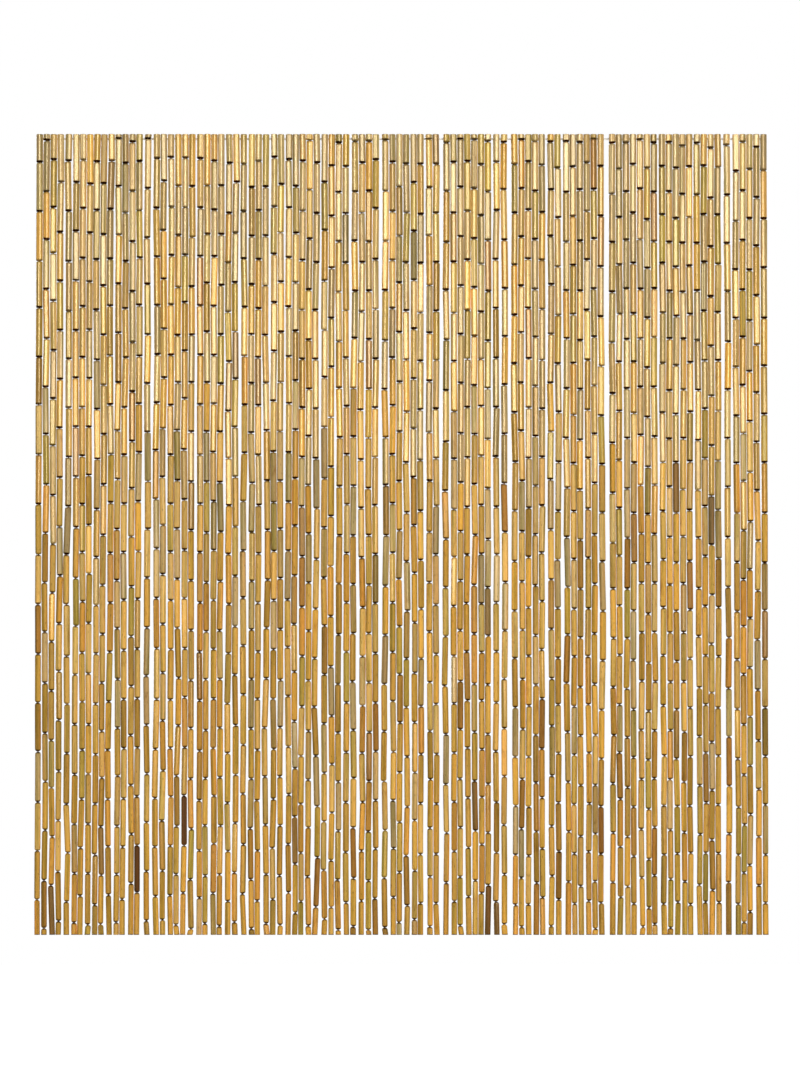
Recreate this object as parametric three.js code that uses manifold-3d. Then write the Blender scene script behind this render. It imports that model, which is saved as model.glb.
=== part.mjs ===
import * as THREE from "three";
import { mergeVertices } from "three/addons/utils/BufferGeometryUtils.js";
import Module from "manifold-3d";

// A bamboo door curtain: strands of thin cane tubes that hang side by side from a slim heading cord.
// Millimetres. X runs across the doorway, -Y faces the room and +Z is up.
// The origin is the middle of the top edge, level with the cut tops of the strands.
// Each strand is one straight tooth here, so the strands and their cord make one comb.

// The whole curtain
const curtainWidth = 900; // over the two outer strands, at the foot
const curtainDrop = 980; // from the top edge to the bottom edge
const footSpread = 1.0075; // how much wider the strands hang at the foot than at the top

// One strand of tubes
const strandDiameter = 7.2;
const strandSides = 8;
const strandSteps = 2; // straight stretches between the top and the bottom

// How unevenly the strands hang. Each waver is a sum of waves that run from strand to strand.
// reach: how far the wave moves a strand. step: radians from one strand to the next. start: radians.
const wavers = {
  place: [
    { reach: 0.25, step: 2.4, start: 0 },
    { reach: 0.1, step: 5.1, start: 1 },
  ],
  middle: [{ reach: 0.2, step: 2.9, start: 0 }],
  foot: [{ reach: 0.3, step: 1.7, start: 0.5 }],
  depth: [
    { reach: 0.5, step: 2.9, start: 0.4 },
    { reach: 0.3, step: 4.3, start: 0 },
  ],
};

// The heading cord, which runs behind the tops of the strands
const cordDiameter = 2.4;
const cordSides = 6;
const cordSetback = 3.2; // from the strands' middle to the cord's
const cordDepth = 4; // from the top edge down to the cord's middle

const weldDistance = 1e-4; // corners closer than this are one corner

// Strands hang in bundles, with a wider gap after each one.
// strands: how many hang together. gap: from the bundle's last strand to the next one, centre to centre.
const bundles = [
  { strands: 4, gap: 10.3 },
  { strands: 11, gap: 10.4 },
  { strands: 1, gap: 10.6 },
  { strands: 5, gap: 10.2 },
  { strands: 7, gap: 10.2 },
  { strands: 3, gap: 10.5 },
  { strands: 8, gap: 10.9 },
  { strands: 4, gap: 10.3 },
  { strands: 4, gap: 11.4 },
  { strands: 6, gap: 10.4 },
  { strands: 2, gap: 12.6 },
  { strands: 8, gap: 11.6 },
  { strands: 1, gap: 10.9 },
  { strands: 5, gap: 10.3 },
  { strands: 2, gap: 10.2 },
  { strands: 6, gap: 13.2 },
  { strands: 16, gap: 10.8 },
  { strands: 1, gap: 10.3 },
  { strands: 5, gap: 0 },
];

const bamboo = new THREE.MeshStandardMaterial({
  name: "bamboo",
  color: new THREE.Color(0.72, 0.54, 0.25),
  roughness: 0.45,
  metalness: 0,
});

// The places of the strands across the foot, evenly spaced within each bundle.
function strandPlaces() {
  const span = curtainWidth - strandDiameter;
  const strands = bundles.reduce((sum, bundle) => sum + bundle.strands, 0);
  const wideGaps = bundles.reduce((sum, bundle) => sum + bundle.gap, 0);
  const closeGaps = strands - bundles.length;
  const pitch = (span - wideGaps) / closeGaps;
  const places = [];
  let x = -span / 2;
  for (const bundle of bundles) {
    for (let i = 0; i < bundle.strands; i += 1) {
      places.push(x);
      x += i < bundle.strands - 1 ? pitch : bundle.gap;
    }
  }
  return places;
}

// A closed mesh as a solid that can be joined to others.
function toSolid(wasm, geometry) {
  geometry.deleteAttribute("normal");
  geometry.deleteAttribute("uv");
  const merged = mergeVertices(geometry, weldDistance);
  return new wasm.Manifold(
    new wasm.Mesh({
      numProp: 3,
      vertProperties: new Float32Array(merged.attributes.position.array),
      triVerts: new Uint32Array(merged.index.array),
    }),
  );
}

function toGeometry(solid) {
  const mesh = solid.getMesh();
  const geometry = new THREE.BufferGeometry();
  geometry.setAttribute("position", new THREE.BufferAttribute(mesh.vertProperties, 3));
  geometry.setIndex(new THREE.BufferAttribute(mesh.triVerts, 1));
  geometry.computeVertexNormals();
  return geometry;
}

// A regular polygon that measures diameter from one flat side to the other.
function polygon(sides, diameter) {
  const radius = diameter / 2 / Math.cos(Math.PI / sides);
  const shape = new THREE.Shape();
  for (let i = 0; i < sides; i += 1) {
    const angle = ((i + 0.5) / sides) * 2 * Math.PI;
    const point = new THREE.Vector2(radius * Math.cos(angle), radius * Math.sin(angle));
    if (i === 0) shape.moveTo(point.x, point.y);
    else shape.lineTo(point.x, point.y);
  }
  shape.closePath();
  return shape;
}

function waver(name, index) {
  return wavers[name].reduce((sum, wave) => sum + wave.reach * Math.sin(wave.step * index + wave.start), 0);
}

// One strand, from the cut top of its first tube to the cut foot of its last.
// The two outer strands hang straight, because the curtain's width is measured over them.
function strandGeometry(place, index, lastIndex) {
  const looseness = index === 0 || index === lastIndex ? 0 : 1;
  const wavered = place + looseness * waver("place", index);
  const topX = wavered / footSpread;
  const footX = wavered + looseness * waver("foot", index);
  const middleX = (topX + footX) / 2 + looseness * waver("middle", index);
  const y = waver("depth", index);
  const path = new THREE.CatmullRomCurve3([
    new THREE.Vector3(topX, y, 0),
    new THREE.Vector3(middleX, y, -curtainDrop / 2),
    new THREE.Vector3(footX, y, -curtainDrop),
  ]);
  return new THREE.ExtrudeGeometry(polygon(strandSides, strandDiameter), {
    steps: strandSteps,
    extrudePath: path,
    bevelEnabled: false,
  });
}

// The heading cord, from the first strand to the last.
function cordGeometry() {
  const reach = (curtainWidth - strandDiameter) / 2 / footSpread;
  const path = new THREE.LineCurve3(
    new THREE.Vector3(-reach, cordSetback, -cordDepth),
    new THREE.Vector3(reach, cordSetback, -cordDepth),
  );
  return new THREE.ExtrudeGeometry(polygon(cordSides, cordDiameter), {
    steps: 1,
    extrudePath: path,
    bevelEnabled: false,
  });
}

const wasm = await Module();
wasm.setup();

const places = strandPlaces();
const solids = places.map((place, index) => toSolid(wasm, strandGeometry(place, index, places.length - 1)));
solids.push(toSolid(wasm, cordGeometry()));

const comb = new THREE.Mesh(toGeometry(wasm.Manifold.union(solids)), bamboo);
comb.name = "strand_comb";

const curtain = new THREE.Group();
curtain.name = "bamboo_door_curtain";
curtain.add(comb);

export default curtain;
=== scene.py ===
import math

import bpy
import numpy as np
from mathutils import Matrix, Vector


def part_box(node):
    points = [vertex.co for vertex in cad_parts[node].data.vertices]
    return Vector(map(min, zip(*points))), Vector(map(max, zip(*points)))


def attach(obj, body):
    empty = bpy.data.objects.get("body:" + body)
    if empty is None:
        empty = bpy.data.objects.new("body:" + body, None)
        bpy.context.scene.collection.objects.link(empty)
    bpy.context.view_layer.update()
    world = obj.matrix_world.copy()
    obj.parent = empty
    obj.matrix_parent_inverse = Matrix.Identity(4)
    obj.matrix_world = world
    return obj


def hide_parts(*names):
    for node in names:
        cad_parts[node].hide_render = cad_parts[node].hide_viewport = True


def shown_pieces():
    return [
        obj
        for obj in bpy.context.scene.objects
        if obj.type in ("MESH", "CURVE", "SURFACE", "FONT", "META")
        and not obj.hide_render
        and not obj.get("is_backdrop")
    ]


# A bamboo door curtain: strands of cane tubes on wire links, hung from a thin heading cord.
# Metres, +Z up, the room on the -Y side, the middle of the top edge at the origin.

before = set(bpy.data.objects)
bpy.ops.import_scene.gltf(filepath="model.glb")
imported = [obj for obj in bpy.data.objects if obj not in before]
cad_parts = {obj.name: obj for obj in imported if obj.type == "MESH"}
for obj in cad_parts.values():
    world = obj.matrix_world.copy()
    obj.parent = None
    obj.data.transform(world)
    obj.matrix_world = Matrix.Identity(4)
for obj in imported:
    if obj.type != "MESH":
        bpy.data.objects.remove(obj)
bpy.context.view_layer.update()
combLow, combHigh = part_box("strand_comb")
mm = 0.001
drop = -combLow.z
chance = np.random.default_rng(23)  # another number hangs another curtain
fullTurn = 2 * math.pi
print("frame loaded, the comb is", [round(x, 4) for x in combHigh - combLow], "m")


# Camera

view = {
    "distance": 4.2,
    "height": -0.82,  # near the curtain's foot
    "takesIn": 1.3104,  # how much of the curtain's plane shows, from the upper edge to the lower
    "middleX": -0.0018,  # the point of that plane in the middle of the view
    "middleZ": -0.4904,
    "sensor": 36,  # in mm
    "farthest": 50,
}


def addCamera():
    data = bpy.data.cameras.new("camera")
    data.sensor_width = view["sensor"]
    data.lens = data.sensor_width * view["distance"] / view["takesIn"]
    data.shift_y = (view["middleZ"] - view["height"]) / view["takesIn"]
    data.clip_end = view["farthest"]
    camera = bpy.data.objects.new("camera", data)
    camera.location = (view["middleX"], -view["distance"], view["height"])
    camera.rotation_euler = (math.radians(90), 0, 0)
    bpy.context.scene.collection.objects.link(camera)
    bpy.context.scene.camera = camera
    print("camera set, shift", round(data.shift_y, 3), "lens", round(data.lens, 1))


addCamera()


# Where the strands hang, as in the comb

hanging = {
    "toothWidth": 7.2 * mm,
    "footSpread": 1.0075,  # how much wider the strands hang at the foot
    # Strands hang in bundles: how many hang together, then the wider gap after each bundle, in mm
    "bundleStrands": (4, 11, 1, 5, 7, 3, 8, 4, 4, 6, 2, 8, 1, 5, 2, 6, 16, 1, 5),
    "bundleGap": (10.3, 10.4, 10.6, 10.2, 10.2, 10.5, 10.9, 10.3, 11.4, 10.4, 12.6, 11.6, 10.9, 10.3, 10.2,
                  13.2, 10.8, 10.3, 0),
    # Waves that run from strand to strand: reach in mm, step and start in radians
    "placeWaves": ((0.25, 2.4, 0), (0.1, 5.1, 1)),
    "middleWaves": ((0.2, 2.9, 0),),
    "footWaves": ((0.3, 1.7, 0.5),),
    "depthWaves": ((0.5, 2.9, 0.4), (0.3, 4.3, 0)),
}
strandCount = sum(hanging["bundleStrands"])


def waver(waves):
    index = np.arange(strandCount)
    return sum(reach * mm * np.sin(step * index + start) for reach, step, start in waves)


def strandLines():
    # Where each strand hangs at the top edge, half-way and at the foot, and how far back
    span = combHigh.x - combLow.x - hanging["toothWidth"]
    wide = [gap * mm for gap in hanging["bundleGap"]]
    close = (span - sum(wide)) / (strandCount - len(wide))
    steps = []
    for strands, gap in zip(hanging["bundleStrands"], wide):
        steps += [close] * (strands - 1) + [gap]
    inner = np.ones(strandCount)
    inner[[0, -1]] = 0  # the two outer strands hang straight
    place = np.cumsum([0] + steps[:-1]) - span / 2 + waver(hanging["placeWaves"]) * inner
    top = place / hanging["footSpread"]
    foot = place + waver(hanging["footWaves"]) * inner
    middle = (top + foot) / 2 + waver(hanging["middleWaves"]) * inner
    return top, middle, foot, waver(hanging["depthWaves"])


lineTop, lineMiddle, lineFoot, lineDepth = strandLines()


def strandX(strand, z):
    # A strand's line, from the top edge to half-way down and on to the foot
    down = -z / drop * 2
    upper = lineTop[strand] + (lineMiddle[strand] - lineTop[strand]) * down
    lower = lineMiddle[strand] + (lineFoot[strand] - lineMiddle[strand]) * (down - 1)
    return np.where(down < 1, upper, lower)


# What the tubes, the wire and the cord share

def roundTurn(sides):
    return np.arange(sides) / sides * fullTurn


def scatter(reach, shape):
    # Random both ways, and never more than twice as far as the reach
    return chance.normal(0, reach, shape).clip(-2 * reach, 2 * reach)


def skinFaces(count, rings, sides):
    # The faces of a row of skins, each ring joined to the next, and the last ones closed
    corner = np.arange(count * rings * sides).reshape(count, rings, sides)
    after = np.roll(corner, -1, axis=2)
    walls = np.stack([corner[:, :-1], after[:, :-1], after[:, 1:], corner[:, 1:]], 3).reshape(-1, 4)
    ends = np.vstack([corner[:, 0, ::-1], corner[:, -1]])
    return walls.tolist() + ends.tolist()


def meshFrom(name, points, faces):
    mesh = bpy.data.meshes.new(name)
    mesh.from_pydata(points, [], faces)
    mesh.polygons.foreach_set("use_smooth", np.ones(len(mesh.polygons), bool))
    return mesh


# Bamboo tubes

tubes = {
    "pitch": 60.2 * mm,  # from one joint to the next
    "lengthSpread": 1.2 * mm,
    "jointGap": (1.0 * mm, 0.6 * mm),  # between two tubes' ends, at the top edge and at the foot
    "gapSpread": 0.15 * mm,
    "leastGap": 0.35 * mm,
    "firstJoint": 0.55,  # of a tube's pitch below the top edge, on every second strand
    "stagger": 0.5,  # how far the strands between them are shifted
    "drift": 0.19,  # how far the joints sink from the left side to the right
    "jointSpread": 0.045,  # these three are shares of the pitch too
    "shortest": 5 * mm,  # a cut piece shorter than this joins its neighbour
    "radiusTop": (4.02 * mm, 4.3 * mm),
    "radiusFoot": (3.27 * mm, 3.65 * mm),
    "thinning": 1.5,  # over 1, the tubes stay thick for longer on the way down
    "bore": (0.42, 0.5),  # of the radius, deep inside
    "boreDepth": 6 * mm,
    "boreMost": 0.35,  # of its length, on a short tube
    "fullEnds": 8 * mm,  # on a tube shorter than this, the ends are squeezed
    "straightFrom": 2.8 * mm,  # from its ends inwards, where a tube's wall runs straight
    "waist": (0.996, 0.006),  # the middle's thickness against the ends', and how much it varies
    "bow": 0.2 * mm,  # how far a tube's middle bends forwards or back
    "oval": 0.03,
    "skew": 0.22 * mm,  # how far a sawn end slants
    "skewMost": 0.45,  # of the gap to the next tube, so that two tubes never meet
    "stainAndShade": (1.2, 0.15),  # how dark a tube's ends are, stained and darkened further with painted shade, at most and at least, and 1 is all dark
    "stainAndShadeSkew": 3.5,  # the more it is over 1, the fewer ends are faint
    "stainAndShadeLost": 0.25,  # how much fainter the stains and painted shade are lower down, where the ends are worn
    "topStainAndShade": 0.3,  # how much of its dark a tube's top end has where the ends aren't worn; the lower ends keep it all, as painted shade under ends that face down
    "sides": 14,
}
# Rings from a tube's end inwards: how far in, and how much thinner than the tube (None at the bore), in mm.
# The ends are sawn square near the top edge, and worn round further down, where the strands swing and knock.
squareEnd = {"inward": (None, 0, 0.15, 0.7, 1.7, 2.2), "trim": (None, 0.8, 0.4, 0.1, 0, 0)}
wornEnd = {"inward": (None, 0, 0.3, 0.75, 1.4, 2.3), "trim": (None, 2.0, 1.5, 0.95, 0.4, 0.05)}
cutEnd = {"inward": (None, 0, 0.06, 0.2, 0.4, 1), "trim": (None, 0.3, 0.05, 0.01, 0, 0)}
# How much each of those rings takes part in the end's slant and in its stain and painted shade
slantShare = np.array([0, 1, 1, 1, 0.7, 0.3])
stainAndShadeShare = {"foot": np.array([1, 1, 1, 1, 0.9, 0.1]), "top": np.array([1, 1, 1, 1, 0.6, 0])}
endRingCount = len(slantShare)
wearing = {
    "ends": (-0.35, -0.6),  # the heights between which the ends go from square to round
    "endSpread": 0.1,
    "mostWorn": 1.05,  # 1 is just as round as wornEnd says
    "polish": (-0.26, -0.54),  # and between which the cane goes from polished to dull
    "polishSpread": 0.25,
}


def worn(kind, z):
    # 0 above the first height, 1 below the second, and a smooth passage between them
    start, end = wearing[kind]
    share = np.clip((start - z) / (start - end), 0, 1)
    return share * share * (3 - 2 * share)


def layTubes():
    # Each strand's tubes from the top edge down: where they start and end
    gapTop, gapFoot = tubes["jointGap"]
    pitch = tubes["pitch"]
    rows = []
    for strand in range(strandCount):
        across = strand / strandCount
        phase = tubes["firstJoint"] + tubes["stagger"] * (strand % 2) + tubes["drift"] * across ** 2
        joint = -((phase + chance.normal(0, tubes["jointSpread"])) % 1) * pitch
        top, joints = 0, []
        while joint > -drop:
            if tubes["shortest"] < -joint < drop - tubes["shortest"]:
                joints.append(joint)
            joint -= pitch + chance.normal(0, tubes["lengthSpread"])
        for joint in joints:
            meanGap = gapTop + (gapFoot - gapTop) * worn("ends", joint)
            gap = max(meanGap + chance.normal(0, tubes["gapSpread"]), tubes["leastGap"])
            rows.append((strand, top, joint + gap / 2, joint, gap))
            top = joint - gap / 2
        rows.append((strand, top, -drop, -drop, 0))
    strand, top, foot, joint, gapBelow = np.array(rows).T
    return {"strand": strand.astype(int), "top": top, "foot": foot, "middle": (top + foot) / 2,
            "joint": joint, "gapBelow": gapBelow, "cutTop": top == 0, "cutFoot": foot == -drop}


def pickRadii(laid):
    down = (-laid["middle"] / drop) ** tubes["thinning"]
    least, most = (tubes["radiusTop"][k] * (1 - down) + tubes["radiusFoot"][k] * down for k in (0, 1))
    return least + (most - least) * chance.random(len(down))


swaying = {
    "tied": 0.5 * mm,  # how unevenly the strands are tied to the heading
    "slowReach": 0.55 * mm,  # long waves down a strand
    "slowLength": (0.35, 0.95),
    "settled": 60 * mm,  # below the top edge, where the heading no longer holds the strands in line
    "lean": 0.7 * mm,  # how far a strand's foot hangs aside
    "swing": 0.42 * mm,  # how far a joint hangs off its strand's line
    "step": 0.28 * mm,  # how far a tube's end sits off its joint
    "depthShare": 0.45,  # how much of that is forwards and back
    "outerShare": 0.3,  # how much of it the two outer strands have
}


def swayEnds(laid):
    # Where each tube's two ends hang: on the strand's line, and off it by long waves, swings and steps
    strand, each = laid["strand"], (strandCount, 2)
    swing = chance.normal(0, swaying["swing"], (len(strand), 2))
    swingAbove = np.roll(swing, 1, axis=0) * ~laid["cutTop"][:, None]
    tied = chance.normal(0, swaying["tied"], each)[strand]
    reach = chance.normal(0, swaying["slowReach"], each)[strand]
    wave = fullTurn / chance.uniform(*swaying["slowLength"], each)[strand]
    start = chance.uniform(0, fullTurn, each)[strand]
    lean = chance.normal(0, swaying["lean"], each)[strand]
    outer = (strand == 0) | (strand == strandCount - 1)
    loose = np.where(outer, swaying["outerShare"], 1)[:, None] * (1, swaying["depthShare"])
    ends = {}
    for end, hang in (("top", swingAbove), ("foot", swing)):
        z = laid[end]
        step = scatter(swaying["step"], (len(strand), 2))
        settle = np.minimum(1, -z / swaying["settled"])[:, None]
        slow = reach * np.sin(wave * z[:, None] + start) * settle + lean * (-z / drop)[:, None]
        off = (tied + slow + hang + step) * loose
        ends[end] = np.stack([strandX(strand, z) + off[:, 0], lineDepth[strand] + off[:, 1]], 1)
    return ends


spacing = {
    "clearance": 0.12 * mm,  # kept between neighbours
    "cling": (1.5 * mm, 0.9 * mm),  # strands nearer than this draw together, high up and low down
    "clingHeights": (0.3, 0.7),  # shares of the drop between which the first gives way to the second
    "pull": 0.1,  # how much of that each round makes good
    "tether": 0.05,  # how firmly each strand keeps its own place
    "rounds": 160,
    "drawingRounds": 0.7,  # of all the rounds, and in the rest the strands only push
    "levels": 400,  # the heights at which neighbours are compared
    "blur": 61,  # how many levels draw together as one
    "beside": 3 * mm,  # how far past a tube's ends its neighbours count
}


def strandShares(laid, levels):
    # Each strand's tubes, how much each of their ends counts at every level, and how thick they are there
    spans, shares, thick = [], [], []
    for strand in range(strandCount):
        own = np.flatnonzero(laid["strand"] == strand)
        z = np.stack([laid["top"][own], laid["foot"][own]], 1).ravel()
        there = np.searchsorted(-laid["foot"][own], -levels).clip(0, len(own) - 1)
        spans.append(own)
        shares.append(np.array([np.interp(-levels, -z, unit) for unit in np.eye(len(z))]).T)
        thick.append(laid["radius"][own][there])
    return spans, shares, np.array(thick)


def neighboursApart(shares, place):
    at = np.array([share @ where for share, where in zip(shares, place)])
    return np.hypot(*np.moveaxis(np.diff(at, axis=0), 2, 0))


def spaceStrands(laid, ends):
    # Strands that hang near each other draw together, and those that would meet push each other aside
    levels = np.linspace(0, -drop, spacing["levels"])
    spans, shares, thick = strandShares(laid, levels)
    place = [np.stack([ends["top"][own], ends["foot"][own]], 1).reshape(-1, 2) for own in spans]
    home = [where.copy() for where in place]
    need = thick[1:] + thick[:-1] + spacing["clearance"]
    cling = np.interp(-levels / drop, spacing["clingHeights"], spacing["cling"])
    blur = np.ones(spacing["blur"]) / spacing["blur"]
    for turn in range(spacing["rounds"]):
        apart = neighboursApart(shares, place)
        gap = apart - need
        short = np.maximum(-gap, 0)
        drawn = 0
        if turn < spacing["rounds"] * spacing["drawingRounds"]:
            drawn = np.minimum(spacing["pull"] * (cling - gap), gap).clip(0, None)
            drawn = np.array([np.convolve(pair, blur, "same") for pair in drawn])
            place = [where + spacing["tether"] * (first - where) for first, where in zip(home, place)]
        shift = np.zeros(thick.shape)
        shift[:-1] += (drawn - short) / 2
        shift[1:] += (short - drawn) / 2
        shift[[0, -1]] = 0  # the outer strands stay
        for strand in range(strandCount):
            weight = shares[strand] * (np.abs(shift[strand]) > 0)[:, None]
            place[strand][:, 0] += weight.T @ shift[strand] / np.maximum(weight.sum(0), 1)
    for own, where in zip(spans, place):
        where = where.reshape(-1, 2, 2)
        ends["top"][own], ends["foot"][own] = where[:, 0], where[:, 1]
    thinTubes(laid, levels, spans, apart)
    print("strands spaced, the worst pair", round(short.max() / mm, 2), "mm too near, and thinned to fit")


def thinTubes(laid, levels, spans, apart):
    # A tube that still has no room between its neighbours is made as thin as it needs to be
    room = apart - spacing["clearance"]
    wide = np.ones((1, len(levels)))
    spare = np.minimum(np.vstack([wide, room]), np.vstack([room, wide])) / 2
    for strand, own in enumerate(spans):
        for tube in own:
            below = levels <= laid["top"][tube] + spacing["beside"]
            above = levels >= laid["foot"][tube] - spacing["beside"]
            laid["radius"][tube] = min(laid["radius"][tube], spare[strand, below & above].min())


laid = layTubes()
laid["radius"] = pickRadii(laid)
tubeEnds = swayEnds(laid)
spaceStrands(laid, tubeEnds)
laid["topX"], laid["topY"] = tubeEnds["top"].T
laid["footX"], laid["footY"] = tubeEnds["foot"].T
tubeCount = len(laid["strand"])
thinnest, average = (round(radius / mm, 2) for radius in (laid["radius"].min(), laid["radius"].mean()))
print(tubeCount, "tubes on", strandCount, "strands, radius from", thinnest, "mm, mean", average)


# Cane colours, as sRGB, and how many tubes of each there are at the top edge, half-way down and at the foot
caneColours = {
    "golden": {"colour": (209, 161, 70), "shares": (9, 31, 43)},
    "bright": {"colour": (211, 172, 96), "shares": (10, 30, 9)},
    "straw": {"colour": (188, 163, 114), "shares": (42, 12, 3)},
    "husk": {"colour": (162, 140, 95), "shares": (22, 4, 0)},
    "ochre": {"colour": (189, 143, 61), "shares": (6, 13, 22)},
    "olive": {"colour": (177, 151, 67), "shares": (12, 5, 9)},
    "orange": {"colour": (212, 152, 66), "shares": (0.3, 4, 10)},
    "brown": {"colour": (147, 100, 44), "shares": (1.5, 3.5, 7)},
    "dark": {"colour": (92, 57, 26), "shares": (0.5, 1.5, 4)},
}
toning = {
    "halfway": 0.5,  # how far down, in metres, the middle shares hold
    "blend": (0.1, 0.5),  # how much of a second colour each tube has
    "spreadTop": 0.14,  # how much lighter or darker single tubes are, at the top edge and at the foot
    "spreadFoot": 0.09,
    "strandSpread": 0.03,  # and whole strands
    "extremes": (0.6, 1.3),  # the darkest and the lightest that a single tube may be
}


def linear(colour):
    # From sRGB to the linear colours of materials
    part = np.asarray(colour, float) / 255
    return np.where(part > 0.04045, ((part + 0.055) / 1.055) ** 2.4, part / 12.92)


def pickColours():
    kinds = list(caneColours.values())
    tones = linear([kind["colour"] for kind in kinds])
    picked = np.empty((tubeCount, 3))
    for tube, z in enumerate(laid["middle"]):
        shares = np.array([np.interp(-z, (0, toning["halfway"], drop), kind["shares"]) for kind in kinds])
        first, second = chance.choice(len(kinds), 2, p=shares / shares.sum())
        blend = chance.uniform(*toning["blend"])
        picked[tube] = tones[first] * (1 - blend) + tones[second] * blend
    strandTone = chance.normal(1, toning["strandSpread"], strandCount)[laid["strand"]]
    down = -laid["middle"] / drop
    spread = toning["spreadTop"] + (toning["spreadFoot"] - toning["spreadTop"]) * down
    tone = chance.normal(1, spread).clip(*toning["extremes"]) * strandTone
    return picked * tone[:, None]


laid["colour"] = pickColours()


def endRings(kind, radius, bore, depth):
    # (tubes, rings) of how far in each ring lies, and its radius
    inward = [depth if inward is None else np.full_like(radius, inward * mm) for inward in kind["inward"]]
    across = [bore if trim is None else radius - trim * mm for trim in kind["trim"]]
    return np.stack([inward, across]).transpose(0, 2, 1)


def shapeEnd(z, cut, radius, bore, depth):
    wear = worn("ends", z) * chance.normal(1, wearing["endSpread"], len(z))
    wear = wear.clip(0, wearing["mostWorn"])[:, None]
    square, rounded, flat = (endRings(kind, radius, bore, depth) for kind in (squareEnd, wornEnd, cutEnd))
    return np.where(cut[:, None], flat, square + (rounded - square) * wear)


def ringsAlong(own):
    # How far up each tube its rings lie, and their radii: the foot's end, three between and the top's end
    radius = laid["radius"][own]
    length = laid["top"][own] - laid["foot"][own]
    bore = radius * chance.uniform(*tubes["bore"], len(own))
    depth = np.minimum(tubes["boreDepth"], length * tubes["boreMost"])
    footInward, footAcross = shapeEnd(laid["foot"][own], laid["cutFoot"][own], radius, bore, depth)
    topInward, topAcross = shapeEnd(laid["top"][own], laid["cutTop"][own], radius, bore, depth)
    squeeze = np.minimum(1, length / tubes["fullEnds"])[:, None]
    straight = tubes["straightFrom"] * squeeze[:, 0]
    middle = np.stack([straight, length / 2, length - straight], 1)
    waist = chance.normal(*tubes["waist"], len(own))
    middleAcross = radius[:, None] * np.stack([np.ones_like(waist), waist, np.ones_like(waist)], 1)
    along = np.hstack([footInward * squeeze, middle, length[:, None] - (topInward * squeeze)[:, ::-1]])
    across = np.hstack([footAcross, middleAcross, topAcross[:, ::-1]])
    return along, across, length


def endSlants(own, rings, turn):
    # How far each point near a sawn end is moved along the tube
    skew = scatter(tubes["skew"], (len(own), 2))
    skewTurn = chance.uniform(0, fullTurn, (len(own), 2))
    room = np.stack([laid["gapBelow"], np.roll(laid["gapBelow"], 1)], 1)[own] * tubes["skewMost"]
    slant = skew.clip(-room, room)[:, :, None] * np.cos(turn - skewTurn[:, :, None])
    rise = np.zeros((len(own), rings, len(turn)))
    rise[:, :endRingCount] = slantShare[None, :, None] * slant[:, 0, None]
    rise[:, -endRingCount:] = slantShare[None, ::-1, None] * slant[:, 1, None]
    return rise


def tubePoints(own):
    # Each tube is one closed skin: out of the bore at its foot, over the rim, up the outside, in at the top
    along, across, length = ringsAlong(own)
    count, rings = along.shape
    turn = roundTurn(tubes["sides"])
    rise = endSlants(own, rings, turn)
    # The tubes bend a little forwards or back, and none is quite round
    share = along / length[:, None]
    bow = scatter(tubes["bow"], (count, 1)) * 4 * share * (1 - share)
    centreX = laid["footX"][own, None] + (laid["topX"] - laid["footX"])[own, None] * share
    centreY = laid["footY"][own, None] + (laid["topY"] - laid["footY"])[own, None] * share + bow
    ovalTurn = chance.uniform(0, math.pi, count)[:, None]
    flatter = tubes["oval"] * chance.random(count)[:, None]
    oval = 1 - flatter * (0.5 + 0.5 * np.cos(2 * (turn - ovalTurn)))
    reach = across[:, :, None] * oval[:, None, :]
    x = centreX[:, :, None] + reach * np.cos(turn)
    y = centreY[:, :, None] + reach * np.sin(turn)
    z = laid["foot"][own, None, None] + along[:, :, None] + rise
    return np.stack([x, y, z], 3), along, reach


def tubeMarks(own, rings):
    # Red is how stained and painted in shade each ring is, most at a tube's lower end, green how polished,
    # and blue is the hollow, which the material paints dark as shade
    count = len(own)
    marks = np.zeros((count, rings, 4))
    endWear = worn("ends", laid["top"][own])[:, None]
    kept = 1 - tubes["stainAndShadeLost"] * endWear
    stainAndShade = {}
    for end in ("foot", "top"):
        faintness = chance.random((count, 1)) ** tubes["stainAndShadeSkew"]
        stainAndShade[end] = np.interp(faintness, (0, 1), tubes["stainAndShade"]) * kept
    keptAtTop = tubes["topStainAndShade"] + (1 - tubes["topStainAndShade"]) * endWear
    marks[:, :endRingCount, 0] = stainAndShade["foot"] * stainAndShadeShare["foot"]
    marks[:, -endRingCount:, 0] = stainAndShade["top"] * keptAtTop * stainAndShadeShare["top"][::-1]
    polish = 1 - worn("polish", laid["middle"][own]) + chance.normal(0, wearing["polishSpread"], count)
    marks[:, :, 1] = polish.clip(0, 1)[:, None]
    marks[:, [0, 1, -2, -1], 2] = 1
    return marks


# How the UV map OFBake unrolls every tube into a cell of its own
unrolled = {
    "columns": 27,
    "footRings": (0.025, 0.055, 0.07, 0.08, 0.1),  # how far up its cell each ring of the foot's end lies
    "topRings": (0.9, 0.92, 0.93, 0.945, 0.975),
    "marginAcross": 0.02,
    "marginUp": 0.01,
    "plugPlace": (0.5, 0.011),  # the disc that closes the bore at the foot
    "plugSize": (0.4, 0.009),  # its half width and half height
    "topPlug": 0.978,  # how much higher the top's disc lies
}


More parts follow.
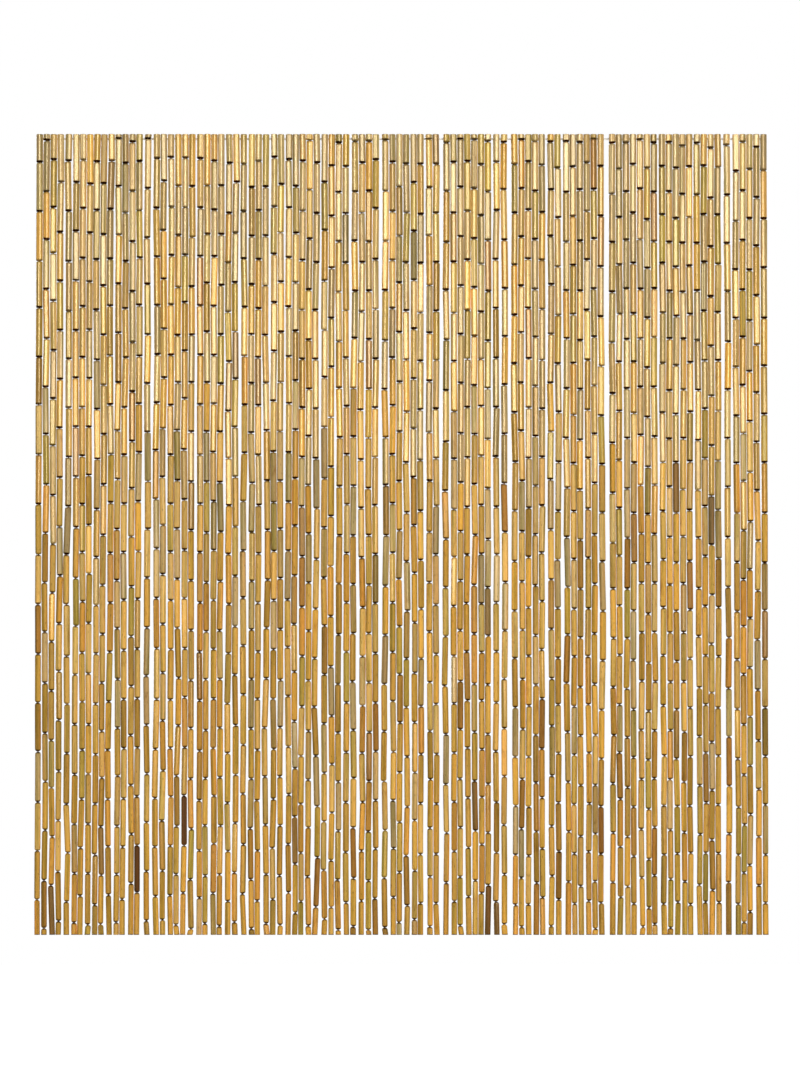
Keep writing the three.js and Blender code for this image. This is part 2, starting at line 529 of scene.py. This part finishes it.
def unrollTubes(along, sides):
    count, rings = along.shape
    columns = unrolled["columns"]
    rows = math.ceil(count / columns)
    cell = np.arange(count)
    cellU, cellV = (cell % columns)[:, None, None], (cell // columns)[:, None, None]

    # The walls
    ends = len(unrolled["footRings"])
    first, last = along[:, ends - 1:ends], along[:, -ends:1 - ends]
    lowest, highest = unrolled["footRings"][-1], unrolled["topRings"][0]
    up = lowest + (highest - lowest) * (along - first) / (last - first)
    up[:, :ends] = unrolled["footRings"]
    up[:, -ends:] = unrolled["topRings"]
    across = np.arange(sides + 1) / sides
    marginU, marginV = unrolled["marginAcross"], unrolled["marginUp"]
    u = (cellU + marginU + (1 - 2 * marginU) * across) / columns + np.zeros((count, rings, 1))
    v = (cellV + marginV + (1 - 2 * marginV) * up[:, :, None]) / rows + np.zeros(sides + 1)
    flat = np.stack([u, v], 3)
    wallMap = np.stack([flat[:, :-1, :-1], flat[:, :-1, 1:], flat[:, 1:, 1:], flat[:, 1:, :-1]], 3)

    # The discs deep in the bores
    turn = roundTurn(sides)
    middle, size = unrolled["plugPlace"], unrolled["plugSize"]
    disc = np.stack([middle[0] + size[0] * np.cos(turn), middle[1] + size[1] * np.sin(turn)], 1)
    plugMaps = []
    for height, order in ((0, slice(None, None, -1)), (unrolled["topPlug"], slice(None))):
        spot = np.empty((count, sides, 2))
        spot[:, :, 0] = (cellU[:, 0] + disc[order, 0]) / columns
        spot[:, :, 1] = (cellV[:, 0] + disc[order, 1] + height) / rows
        plugMaps.append(spot.reshape(-1, 2))
    return np.vstack([wallMap.reshape(-1, 2), *plugMaps])


def tubeMesh(name, own):
    points, along, reach = tubePoints(own)
    marks = tubeMarks(own, along.shape[1])
    count, rings, sides = reach.shape
    mesh = meshFrom(name, points.reshape(-1, 3).tolist(), skinFaces(count, rings, sides))

    # Each tube's own colour, marks and coordinates, which start anywhere in the grain
    colour = np.repeat(np.hstack([laid["colour"][own], np.ones((count, 1))]), rings * sides, axis=0)
    mesh.attributes.new("caneColour", "FLOAT_COLOR", "POINT").data.foreach_set("color", colour.ravel())
    stains = np.repeat(marks[:, :, None], sides, axis=2)
    mesh.attributes.new("caneMarks", "FLOAT_COLOR", "POINT").data.foreach_set("color", stains.ravel())
    turn = roundTurn(sides)
    up = np.broadcast_to(along[:, :, None], reach.shape)
    grain = np.stack([reach * np.cos(turn), reach * np.sin(turn), up], 3)
    grain += chance.uniform(-1, 1, (count, 1, 1, 3))
    mesh.attributes.new("caneGrain", "FLOAT_VECTOR", "POINT").data.foreach_set("vector", grain.ravel())
    flatMap = unrollTubes(along, sides).astype(np.float32)
    mesh.uv_layers.new(name="OFBake").uv.foreach_set("vector", flatMap.ravel())
    return mesh


def addPiece(mesh, material):
    piece = bpy.data.objects.new(mesh.name, mesh)
    mesh.materials.append(material)
    bpy.context.scene.collection.objects.link(piece)
    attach(piece, "root")
    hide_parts("strand_comb")
    return piece


# Materials

def newMaterial(name):
    material = bpy.data.materials.new(name)
    material.use_nodes = True
    material.node_tree.nodes.clear()
    return material, material.node_tree.nodes, material.node_tree.links


def addNode(nodes, kind, settings=None, values=None):
    node = nodes.new("ShaderNode" + kind)
    for key, value in (settings or {}).items():
        setattr(node, key, value)
    for key, value in (values or {}).items():
        node.inputs[key].default_value = value
    return node


def addRamp(nodes, links, source, stops):
    ramp = addNode(nodes, "ValToRGB")
    elements = ramp.color_ramp.elements
    while len(elements) < len(stops):
        elements.new(0.5)
    for element, (place, shade) in zip(elements, stops):
        element.position = place
        element.color = (shade, shade, shade, 1) if isinstance(shade, (int, float)) else (*shade, 1)
    links.new(source, ramp.inputs["Fac"])
    return ramp.outputs["Color"]


def mixColour(nodes, links, kind, share, first, second):
    mix = addNode(nodes, "Mix", {"data_type": "RGBA", "blend_type": kind, "clamp_factor": True})
    colourA = [s for s in mix.inputs if s.name == "A" and s.type == "RGBA"][0]
    colourB = [s for s in mix.inputs if s.name == "B" and s.type == "RGBA"][0]
    for socket, value in ((mix.inputs[0], share), (colourA, first), (colourB, second)):
        if isinstance(value, bpy.types.NodeSocket):
            links.new(value, socket)
        else:
            socket.default_value = value
    return [s for s in mix.outputs if s.type == "RGBA"][0]


def addPattern(nodes, links, source, kind, scale, values):
    # A texture that is squeezed or stretched along each axis
    place = addNode(nodes, "Mapping", values={"Scale": scale})
    links.new(source, place.inputs["Vector"])
    texture = addNode(nodes, kind, values={"Scale": 1, **values})
    links.new(place.outputs["Vector"], texture.inputs["Vector"])
    return texture.outputs


def addBump(nodes, links, source, relief, under=None):
    strength, distance = relief
    bump = addNode(nodes, "Bump", values={"Strength": strength, "Distance": distance})
    links.new(source, bump.inputs["Height"])
    if under is not None:
        links.new(under, bump.inputs["Normal"])
    return bump.outputs["Normal"]


def showSurface(nodes, links, shader):
    links.new(shader, addNode(nodes, "OutputMaterial").inputs["Surface"])


# Colours are linear, a ramp is pairs of where and what, and a pattern says how fine it is along each axis
cane = {
    "fibre": (1500, 1500, 8),  # fine fibres along the tube
    "fibreTone": ((0.3, 0.82), (0.7, 1.12)),
    "fibreRelief": (0.35, 0.12 * mm),
    "streak": (230, 230, 6),  # broader streaks, from olive to warm
    "streakTone": ((0.4, (0.7, 0.72, 0.52)), (0.5, (1, 1, 1)), (0.6, (1.14, 1.02, 0.86))),
    "blotch": (160, 160, 40),  # weathered patches
    "blotchShare": ((0.58, 0), (0.76, 0.7)),
    "blotchShade": (0.6, 0.46, 0.32, 1),
    "speck": (700, 700, 150),  # short dark flecks
    "speckShare": 0.12,
    "speckFade": ((0.1, 0.8), (0.3, 0)),
    "speckColour": (0.07, 0.035, 0.012, 1),
    # Sawn-end stain with painted joint shade on top of it, and the colour that darkens the ends
    "stainAndShadeShare": ((0, 0), (0.5, 0.6), (1, 1)),
    "stainAndShadeColour": (0.05, 0.016, 0.003, 1),
    # The hollow inside each bore is painted near black, as shade
    "boreShare": ((0.3, 0), (0.9, 1)),
    "paintedBoreShade": (0.014, 0.008, 0.004, 1),
    "cleanShare": ((0, 1), (0.6, 0.05)),  # how much gloss stays where the ends are stained or painted in shade, and in the hollow
    "gloss": ((0, 0.06), (1, 0.5)),  # from dull cane to polished
    "glossTint": (1, 0.82, 0.53, 1),
    "fuzz": ((0, 0.2), (1, 0.7)),  # the soft shine at the tubes' sides, from dull cane to polished
    "fuzzTint": (1, 0.66, 0.22, 1),
    "fuzzSpread": 0.5,
    "refraction": 1.3,
    "polished": ((0.3, 0.22), (0.7, 0.34)),  # how rough polished fibres are
    "dulled": ((0, 0.65), (1, 0)),  # and how rough dull cane is
    "ridge": (240, 240, 3),  # low ribs along the tube, which shift the gloss
    "ridgeRelief": (1, 2 * mm),
}


def caneMaterial():
    material, nodes, links = newMaterial("polished cane")
    grain = addNode(nodes, "Attribute", {"attribute_name": "caneGrain"}).outputs["Vector"]
    shade = addNode(nodes, "Attribute", {"attribute_name": "caneColour"}).outputs["Color"]
    wear = addNode(nodes, "Attribute", {"attribute_name": "caneMarks"}).outputs["Color"]
    marks = addNode(nodes, "SeparateColor")
    links.new(wear, marks.inputs["Color"])
    stainAndShade, polish, inside = (marks.outputs[name] for name in ("Red", "Green", "Blue"))

    def ramp(source, name):
        return addRamp(nodes, links, source, cane[name])

    def mixed(kind, first, second, share=1.0):
        return mixColour(nodes, links, kind, share, first, second)

    def noise(name, detail, roughness=0.5):
        finer = {"Detail": detail, "Roughness": roughness}
        return addPattern(nodes, links, grain, "TexNoise", cane[name], finer)["Fac"]

    # Fibres and streaks that run along the tube
    fibre = noise("fibre", detail=2)
    streak = noise("streak", detail=3, roughness=0.6)
    shade = mixed("MULTIPLY", shade, ramp(streak, "streakTone"))
    shade = mixed("MULTIPLY", shade, ramp(fibre, "fibreTone"))

    # Weathered blotches, and a few short dark flecks
    weathered = ramp(noise("blotch", detail=3, roughness=0.6), "blotchShare")
    shade = mixed("MULTIPLY", shade, cane["blotchShade"], weathered)
    cells = addPattern(nodes, links, grain, "TexVoronoi", cane["speck"], {})
    pick = addNode(nodes, "SeparateColor")
    links.new(cells["Color"], pick.inputs["Color"])
    picked = addNode(nodes, "Math", {"operation": "LESS_THAN"}, {1: cane["speckShare"]})
    links.new(pick.outputs["Red"], picked.inputs[0])
    flecks = mixed("MULTIPLY", ramp(cells["Distance"], "speckFade"), picked.outputs["Value"])
    shade = mixed("MIX", shade, cane["speckColour"], flecks)

    # Ends that the saw and the tumbling have stained, darkened further with painted shade at the joints, and
    # the hollow painted near black as shade
    stainedAndShaded, hollow = ramp(stainAndShade, "stainAndShadeShare"), ramp(inside, "boreShare")
    shade = mixed("MULTIPLY", shade, cane["stainAndShadeColour"], stainedAndShaded)
    shade = mixed("MIX", shade, cane["paintedBoreShade"], hollow)

    surface = addNode(nodes, "BsdfPrincipled", values={
        "IOR": cane["refraction"], "Specular Tint": cane["glossTint"],
        "Sheen Roughness": cane["fuzzSpread"], "Sheen Tint": cane["fuzzTint"]})
    links.new(shade, surface.inputs["Base Color"])

    # The cane is polished near the top edge, and dull lower down, at its ends where stain and painted shade
    # lie, and in the hollow
    clean = ramp(mixed("LIGHTEN", stainedAndShaded, hollow), "cleanShare")
    links.new(mixed("MULTIPLY", clean, ramp(polish, "gloss")), surface.inputs["Specular IOR Level"])
    links.new(mixed("MULTIPLY", clean, ramp(polish, "fuzz")), surface.inputs["Sheen Weight"])
    rough = ramp(fibre, "polished")
    for matt in (ramp(polish, "dulled"), stainedAndShaded, hollow):
        rough = mixed("LIGHTEN", rough, matt)
    links.new(rough, surface.inputs["Roughness"])
    ribs = addBump(nodes, links, noise("ridge", detail=0), cane["ridgeRelief"])
    links.new(addBump(nodes, links, fibre, cane["fibreRelief"], ribs), surface.inputs["Normal"])
    showSurface(nodes, links, surface.outputs["BSDF"])
    return material


wireLook = {
    "tarnish": 900,  # the more, the finer its patches
    "tarnishColours": ((0.35, (0.14, 0.06, 0.018)), (0.7, (0.34, 0.16, 0.045))),
    "roughness": 0.8,
    "gloss": 0.02,
}


def wireMaterial():
    material, nodes, links = newMaterial("dull wire")
    where = addNode(nodes, "TexCoord").outputs["Object"]
    tarnish = addNode(nodes, "TexNoise", values={"Scale": wireLook["tarnish"], "Detail": 3})
    links.new(where, tarnish.inputs["Vector"])
    shade = addRamp(nodes, links, tarnish.outputs["Fac"], wireLook["tarnishColours"])
    surface = addNode(nodes, "BsdfPrincipled", values={
        "Roughness": wireLook["roughness"], "Specular IOR Level": wireLook["gloss"]})
    links.new(shade, surface.inputs["Base Color"])
    showSurface(nodes, links, surface.outputs["BSDF"])
    return material


cordLook = {
    "fibre": (500, 2500, 2500),  # how fine it is along the cord and across it
    "fibreColours": ((0.3, (0.72, 0.69, 0.6)), (0.7, (0.88, 0.86, 0.8))),
    "fibreRelief": (0.6, 0.15 * mm),
    "roughness": 0.9,
}


def cordMaterial():
    material, nodes, links = newMaterial("natural cord")
    where = addNode(nodes, "TexCoord").outputs["Object"]
    fibre = addPattern(nodes, links, where, "TexNoise", cordLook["fibre"], {"Detail": 4})["Fac"]
    surface = addNode(nodes, "BsdfPrincipled", values={"Roughness": cordLook["roughness"]})
    links.new(addRamp(nodes, links, fibre, cordLook["fibreColours"]), surface.inputs["Base Color"])
    links.new(addBump(nodes, links, fibre, cordLook["fibreRelief"]), surface.inputs["Normal"])
    showSurface(nodes, links, surface.outputs["BSDF"])
    return material


caneFinish, wireFinish, cordFinish = caneMaterial(), wireMaterial(), cordMaterial()
print("materials made")


# Wire links and the heading cord

wire = {
    "radius": 0.42 * mm,
    "sides": 5,
    "tipHalf": 0.74 * mm,  # from the middle of a loop to its side, at its tip
    "legHalf": 0.8 * mm,  # and at its legs, inside the bore
    "legInside": 2.2 * mm,  # how far a loop's legs reach into the bore
    "slack": 0.02 * mm,  # how much further than half a wire a loop's tip passes the joint
    "tip": (180, 240, 300, 360),  # the angles of a tip's points, in degrees
    "startInside": 3 * mm,  # how deep in a top tube the wire to the heading begins
    "overRim": 0.5 * mm,  # from a top tube's rim up to the wire's middle
    "pastRim": 0.2 * mm,
    "headingLoop": 0.42 * mm,  # from the cord's surface to the wire's middle
    "wrap": (75, 30, -20, -70, -120, -170, -220),  # over the cord and round it, in degrees from its back
    "wrapSpread": 1.1 * mm,  # how far along the cord it goes meanwhile
}
heading = {
    "radius": 1.2 * mm,
    "plies": 3,
    "plyRadius": 0.65 * mm,
    "turn": 8 * mm,  # along the cord for one twist
    "sides": 6,
    "stepsPerTurn": 8,
    "below": 4 * mm,  # from the top edge to the cord's middle
    "spare": 0.25 * mm,  # between the rearmost tube and the wire round the cord
    "near": 3 * mm,  # how far below the cord a tube still has to clear it
}


def sweptTubes(paths, normals, radius, sides):
    # paths is (tubes, points, 3) and normals a direction across each, which keeps the section from twisting
    count, steps = paths.shape[:2]
    ahead = np.gradient(paths, axis=1)
    ahead /= np.linalg.norm(ahead, axis=2, keepdims=True)
    side = normals - (normals * ahead).sum(2, keepdims=True) * ahead
    side /= np.linalg.norm(side, axis=2, keepdims=True)
    other = np.cross(ahead, side)
    turn = roundTurn(sides)[:, None]
    rings = paths[:, :, None] + radius * (np.cos(turn) * side[:, :, None] + np.sin(turn) * other[:, :, None])
    return rings.reshape(-1, 3).tolist(), skinFaces(count, steps, sides)


def loopPaths(bore, hook, end, joint, down, turn):
    # A loop comes out of a bore at end, and its tip passes the joint by half a wire, midway between bores
    half = wire["tipHalf"]
    tip = joint + down * (wire["radius"] + wire["slack"])
    arc = np.radians(wire["tip"])
    across = np.concatenate([[-wire["legHalf"]], half * np.cos(arc), [wire["legHalf"]]])
    inward = np.concatenate([[0], half * (1 + np.sin(arc)), [0]])
    z = tip[:, None] - down[:, None] * inward
    z[:, [0, -1]] = (end - down * wire["legInside"])[:, None]
    centre = np.repeat(hook[:, None], len(across), axis=1)
    centre[:, [0, -1]] = bore[:, None]
    aside = np.stack([np.cos(turn), np.sin(turn)], 1)[:, None] * across[:, None]
    paths = np.concatenate([centre + aside, z[:, :, None]], 2)
    normals = np.stack([-np.sin(turn), np.cos(turn), 0 * turn], 1)[:, None]
    return paths, normals


def cordDepth():
    # The cord lies behind the rearmost tube, with room for its wire between them
    lowest = -heading["below"] - heading["near"]
    beside = laid["top"] > lowest
    rearmost = np.maximum(laid["topY"], laid["footY"] * (laid["foot"] > lowest)) + laid["radius"]
    return rearmost[beside].max() + heading["spare"] + 2 * wire["radius"] + heading["radius"]


cordY = cordDepth()


def headingLoops(own):
    # The wire of each top tube leaves its bore, goes round the heading cord and ends against it
    top = own[laid["cutTop"][own]]
    x, y = laid["topX"][top], laid["topY"][top]
    away = heading["radius"] + wire["headingLoop"]
    wrap = np.radians(wire["wrap"])
    paths = np.zeros((len(top), 3 + len(wrap), 3))
    paths[:, :, 0] = x[:, None]
    paths[:, :2, 1] = y[:, None]
    paths[:, 0, 2] = -wire["startInside"]
    paths[:, 2, 1] = y + laid["radius"][top] + wire["pastRim"]
    paths[:, 1:3, 2] = wire["overRim"]
    paths[:, 3:, 1] = cordY + away * np.cos(wrap)
    paths[:, 3:, 2] = -heading["below"] + away * np.sin(wrap)
    paths[:, 3:, 0] += np.linspace(0, wire["wrapSpread"], len(wrap))
    normals = np.tile(np.array([1.0, 0, 0]), (len(top), 1, 1))
    return paths, normals


def linkMesh(name, own):
    hung = own[~laid["cutFoot"][own]]  # tubes with another one under them
    below = hung + 1
    joint = laid["joint"][hung]
    turn = chance.uniform(0, math.pi, len(hung))
    down = np.full(len(hung), -1.0)
    upper, lower = tubeEnds["foot"][hung], tubeEnds["top"][below]
    hook = (upper + lower) / 2
    upperPaths, upperNormals = loopPaths(upper, hook, laid["foot"][hung], joint, down, turn)
    lowerPaths, lowerNormals = loopPaths(lower, hook, laid["top"][below], joint, -down, turn + math.pi / 2)
    paths, normals = np.vstack([upperPaths, lowerPaths]), np.vstack([upperNormals, lowerNormals])
    points, faces = sweptTubes(paths, normals, wire["radius"], wire["sides"])
    topPaths, topNormals = headingLoops(own)
    topPoints, topFaces = sweptTubes(topPaths, topNormals, wire["radius"], wire["sides"])
    faces += [[corner + len(points) for corner in face] for face in topFaces]
    return meshFrom(name, points + topPoints, faces)


def headingMesh():
    left, right = lineTop[0] - hanging["toothWidth"] / 2, lineTop[-1] + hanging["toothWidth"] / 2
    steps = int((right - left) / heading["turn"] * heading["stepsPerTurn"])
    x = np.linspace(left, right, steps)
    lay = heading["radius"] - heading["plyRadius"]
    paths = []
    for ply in range(heading["plies"]):
        angle = x / heading["turn"] * fullTurn + ply / heading["plies"] * fullTurn
        paths.append(np.stack([x, cordY + lay * np.cos(angle), -heading["below"] + lay * np.sin(angle)], 1))
    normals = np.array([0.0, 0, 1])[None, None]
    points, faces = sweptTubes(np.array(paths), normals, heading["plyRadius"], heading["sides"])
    return meshFrom("heading_cord", points, faces)


headingCord = addPiece(headingMesh(), cordFinish)
panelCount = 11  # sheets of strands
for panel in range(panelCount):
    first, last = panel * strandCount // panelCount, (panel + 1) * strandCount // panelCount
    own = np.flatnonzero((laid["strand"] >= first) & (laid["strand"] < last))
    strands = addPiece(tubeMesh(f"strands_{panel + 1:02d}", own), caneFinish)
    links = addPiece(linkMesh(f"wire_links_{panel + 1:02d}", own), wireFinish)
# A face makes two triangles fewer than it has corners
triangleCount = sum(len(p.data.loops) - 2 * len(p.data.polygons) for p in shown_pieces())
print(panelCount, "panels of strands with their wire links, triangles in all:", triangleCount)


# Floor, lamps and world

studio = {
    "floorBelow": 0.32,  # from the curtain's foot
    "floorHalf": 6,
    "floorColour": (0.6, 0.6, 0.59, 1),
    "floorGlow": 0.96,  # only as the camera sees it
    "worldLight": 0.08,
}
lamps = {
    "soft lamp": {"size": (3, 3), "place": (0.8, -5, 0.3), "aim": (0, 0, -0.5), "power": 237},
    "back lamp": {"size": (3, 3), "place": (-0.8, 5, 0.3), "aim": (0, 0, -0.5), "power": 180},
    "shine lamp": {"size": (2.8, 1.8), "place": (0, -2.3, 0.2), "aim": (0, 0, -0.2), "power": 610,
                   "onlyGloss": True},  # only the polish of the cane sees this one
}


def addLamp(name, size, place, aim, power, onlyGloss=False):
    data = bpy.data.lights.new(name, "AREA")
    data.shape = "RECTANGLE"
    data.size, data.size_y = size
    data.energy = power
    lamp = bpy.data.objects.new(name, data)
    lamp.location = place
    lamp.rotation_euler = (Vector(aim) - Vector(place)).to_track_quat("-Z", "Y").to_euler()
    lamp.visible_diffuse = not onlyGloss
    bpy.context.scene.collection.objects.link(lamp)


def seenDirectly(nodes, links):
    # 1 for what the camera sees, straight on or in a gloss or through glass
    path = addNode(nodes, "LightPath")
    seen = path.outputs["Is Camera Ray"]
    for name in ("Is Glossy Ray", "Is Transmission Ray"):
        most = addNode(nodes, "Math", {"operation": "MAXIMUM"})
        links.new(seen, most.inputs[0])
        links.new(path.outputs[name], most.inputs[1])
        seen = most.outputs["Value"]
    return seen


def addFloor():
    half, z = studio["floorHalf"], -drop - studio["floorBelow"]
    corners = [(-half, -half, z), (half, -half, z), (half, half, z), (-half, half, z)]
    mesh = bpy.data.meshes.new("floor")
    mesh.from_pydata(corners, [], [(0, 1, 2, 3)])
    material, nodes, links = newMaterial("pale floor")
    plain = addNode(nodes, "BsdfDiffuse", values={"Color": studio["floorColour"]})
    glow = addNode(nodes, "Emission", values={"Color": (1, 1, 1, 1)})
    strength = addNode(nodes, "Math", {"operation": "MULTIPLY"}, {1: studio["floorGlow"]})
    links.new(seenDirectly(nodes, links), strength.inputs[0])
    links.new(strength.outputs["Value"], glow.inputs["Strength"])
    both = addNode(nodes, "AddShader")
    links.new(plain.outputs["BSDF"], both.inputs[0])
    links.new(glow.outputs["Emission"], both.inputs[1])
    showSurface(nodes, links, both.outputs["Shader"])
    mesh.materials.append(material)
    floor = bpy.data.objects.new("floor", mesh)
    bpy.context.scene.collection.objects.link(floor)
    floor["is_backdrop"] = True


def setWorld():
    world = bpy.data.worlds.new("studio")
    world.use_nodes = True
    nodes, links = world.node_tree.nodes, world.node_tree.links
    nodes.clear()
    light = addNode(nodes, "Background", values={"Color": (1, 1, 1, 1), "Strength": studio["worldLight"]})
    white = addNode(nodes, "Background", values={"Color": (1, 1, 1, 1), "Strength": 1})
    mix = addNode(nodes, "MixShader")
    links.new(seenDirectly(nodes, links), mix.inputs["Fac"])
    links.new(light.outputs["Background"], mix.inputs[1])
    links.new(white.outputs["Background"], mix.inputs[2])
    output = addNode(nodes, "OutputWorld")
    links.new(mix.outputs["Shader"], output.inputs["Surface"])
    bpy.context.scene.world = world


for name, lamp in lamps.items():
    addLamp(name, **lamp)
addFloor()
setWorld()
bpy.context.scene.view_settings.view_transform = "Standard"
print("studio set")
